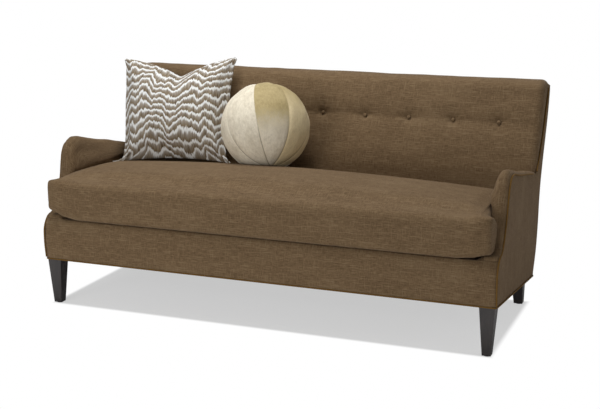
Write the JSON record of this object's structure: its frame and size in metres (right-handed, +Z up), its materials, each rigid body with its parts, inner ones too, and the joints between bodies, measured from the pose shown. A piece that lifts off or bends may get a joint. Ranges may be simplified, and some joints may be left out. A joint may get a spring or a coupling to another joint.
{
  "type": "settee",
  "caption": "Settee with a bench seat cushion, tight buttoned back, low sloping arms, piped edges, tapered wood legs, a square pillow and a ball pillow.",
  "frame": {"origin": "on the floor, under the middle of the settee's box", "axes": "+X to the right when the settee is seen from its front, +Y from the front to the back, +Z up"},
  "size_m": [1.83, 0.95, 0.9459],
  "materials": {
    "brown_linen": "matte",
    "welt_cloth": "matte",
    "wavy_cloth": "matte",
    "cream_hide": "matte",
    "dark_wood": "satin",
    "frame_wood": "matte",
    "padding": "matte",
    "jute": "matte",
    "dust_cloth": "matte",
    "zinc_steel": "satin",
    "clip_plastic": "matte",
    "glide_plastic": "matte",
    "zip_plastic": "matte",
    "zip_brass": "satin"
  },
  "bodies": {
    "settee_frame": {"arm_foam_left": "padding", "arm_foam_right": "padding", "arm_post_left": "frame_wood", "arm_post_right": "frame_wood", "arm_tack_rail_left": "frame_wood", "arm_tack_rail_right": "frame_wood", "arm_top_rail_left": "frame_wood", "arm_top_rail_right": "frame_wood", "back_foam": "padding", "back_lower_rail": "frame_wood", "back_post_left": "frame_wood", "back_post_right": "frame_wood", "back_rail": "frame_wood", "back_top_rail": "frame_wood", "back_uprights": "frame_wood", "back_webbing": "jute", "button_anchors": "zinc_steel", "button_twines": "jute", "buttons": "welt_cloth", "corner_blocks": "frame_wood", "deck_burlap": "jute", "deck_cover": "brown_linen", "deck_pad": "padding", "dust_cover": "dust_cloth", "front_rail": "frame_wood", "front_rail_cover": "brown_linen", "front_rail_pad": "padding", "hem_welt": "welt_cloth", "inside_arm_cover_left": "brown_linen", "inside_arm_cover_right": "brown_linen", "inside_back_cover": "brown_linen", "leg_bolts": "zinc_steel", "leg_front_left": "dark_wood", "leg_front_right": "dark_wood", "leg_glides": "glide_plastic", "leg_nuts": "zinc_steel", "leg_rear_left": "dark_wood", "leg_rear_right": "dark_wood", "outside_arm_panel_left": "brown_linen", "outside_arm_panel_right": "brown_linen", "outside_back_cover": "brown_linen", "rear_leg_blocks": "frame_wood", "seat_springs": "zinc_steel", "seat_stretchers": "frame_wood", "side_rail_left": "frame_wood", "side_rail_right": "frame_wood", "side_welt_left": "welt_cloth", "side_welt_right": "welt_cloth", "spring_clips": "clip_plastic"},
    "seat_cushion": {"seat_cushion_cover": "brown_linen", "seat_cushion_wrap": "padding", "seat_cushion_core": "padding", "cushion_zip_chain": "zip_plastic"},
    "zip_slider": {"cushion_zip_slider": "zip_brass"},
    "square_pillow": {"square_pillow_cover": "wavy_cloth", "square_pillow_filling": "padding"},
    "ball_pillow": {"ball_pillow_cover": "cream_hide", "ball_pillow_filling": "padding"}
  },
  "joints": [
    {"name": "seat_cushion_lift", "type": "slide", "parent": "settee_frame", "child": "seat_cushion", "axis": [0, 0, 1], "range_m": [0, 0.36]},
    {"name": "square_pillow_lift", "type": "slide", "parent": "seat_cushion", "child": "square_pillow", "axis": [0, 0.3107, 0.9505], "range_m": [0, 0.3]},
    {"name": "ball_pillow_lift", "type": "slide", "parent": "seat_cushion", "child": "ball_pillow", "axis": [0, 0, 1], "range_m": [0, 0.3]},
    {"name": "zip_slider_run", "type": "slide", "parent": "seat_cushion", "child": "zip_slider", "axis": [1, 0, 0], "range_m": [0, 1.158]}
  ]
}
